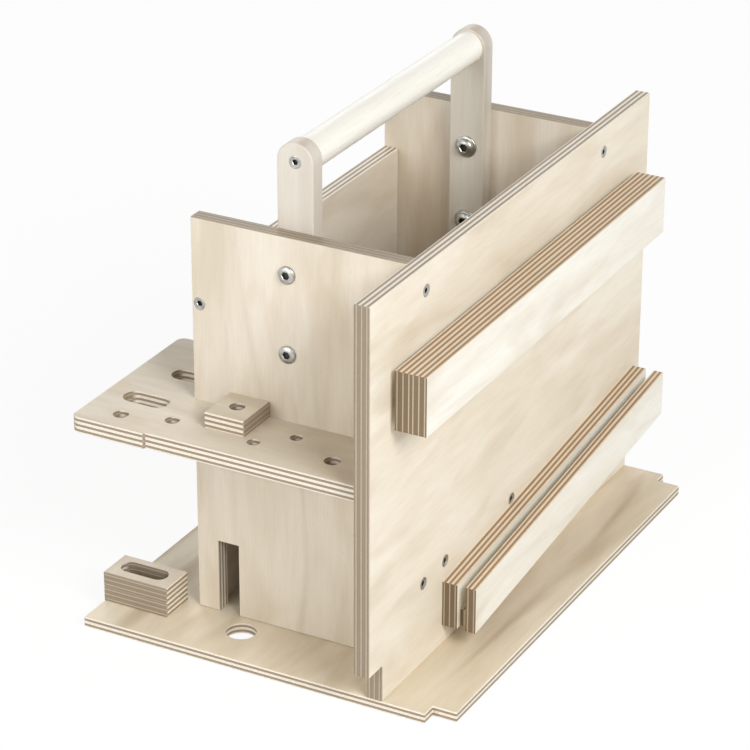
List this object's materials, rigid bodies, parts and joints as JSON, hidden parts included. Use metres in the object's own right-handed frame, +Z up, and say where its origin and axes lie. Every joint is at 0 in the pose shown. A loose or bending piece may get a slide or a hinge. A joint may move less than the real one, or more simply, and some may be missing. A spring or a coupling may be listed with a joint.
{
  "type": "tool tote with drawer",
  "caption": "Open plywood tool tote with a round handle rail, tool shelves, saw rails on its side and a low drawer at the rear.",
  "frame": {"origin": "centre of the overall box's bottom face, on the underside of the base plate, so the part stands on Z = 0", "axes": "+X to the side with the saw rails, +Y to the rear, the way the drawer opens, +Z up"},
  "size_m": [0.223, 0.334, 0.2853],
  "materials": {
    "birch_plywood": "fine-sanded birch plywood, bare or thinly oiled",
    "base_plywood": "sanded birch plywood with a stronger grain",
    "rail_plywood": "pale sanded birch plywood with brown glue lines on the edges",
    "drawer_plywood": "sanded birch plywood",
    "beech_rail": "smooth turned pale hardwood",
    "beech_upright": "smooth planed pale hardwood",
    "zinc_steel": "bright zinc-plated steel"
  },
  "bodies": {
    "carcass": {"base_plate": "base_plywood", "base_screws": "zinc_steel", "bay_wall": "birch_plywood", "compartment_floor": "birch_plywood", "drawer_guide_left": "drawer_plywood", "drawer_guide_right": "drawer_plywood", "end_panel_screws": "zinc_steel", "floor_screws": "zinc_steel", "front_end_panel": "birch_plywood", "front_shelf_pad": "birch_plywood", "front_tool_shelf": "birch_plywood", "handle_bolts": "zinc_steel", "handle_rail": "beech_rail", "handle_rail_screws": "zinc_steel", "handle_sleeve_nuts": "zinc_steel", "handle_upright_front": "beech_upright", "handle_upright_rear": "beech_upright", "left_side_panel": "birch_plywood", "lower_rail_inner_board": "rail_plywood", "lower_rail_outer_board": "rail_plywood", "lower_rail_strip": "rail_plywood", "rear_end_panel": "birch_plywood", "rear_tool_shelf": "birch_plywood", "right_side_panel": "birch_plywood", "side_panel_screws": "zinc_steel", "socket_block_lower": "birch_plywood", "socket_block_upper": "birch_plywood", "upper_rail_inner_board": "rail_plywood", "upper_rail_outer_board": "rail_plywood", "upper_rail_strip": "rail_plywood"},
    "drawer": {"drawer_back": "drawer_plywood", "drawer_floor": "drawer_plywood", "drawer_front": "drawer_plywood", "drawer_side_left": "drawer_plywood", "drawer_side_right": "drawer_plywood"}
  },
  "joints": [
    {"name": "drawer_slide", "type": "slide", "parent": "carcass", "child": "drawer", "axis": [0, 1, 0], "range_m": [0, 0.15]}
  ]
}
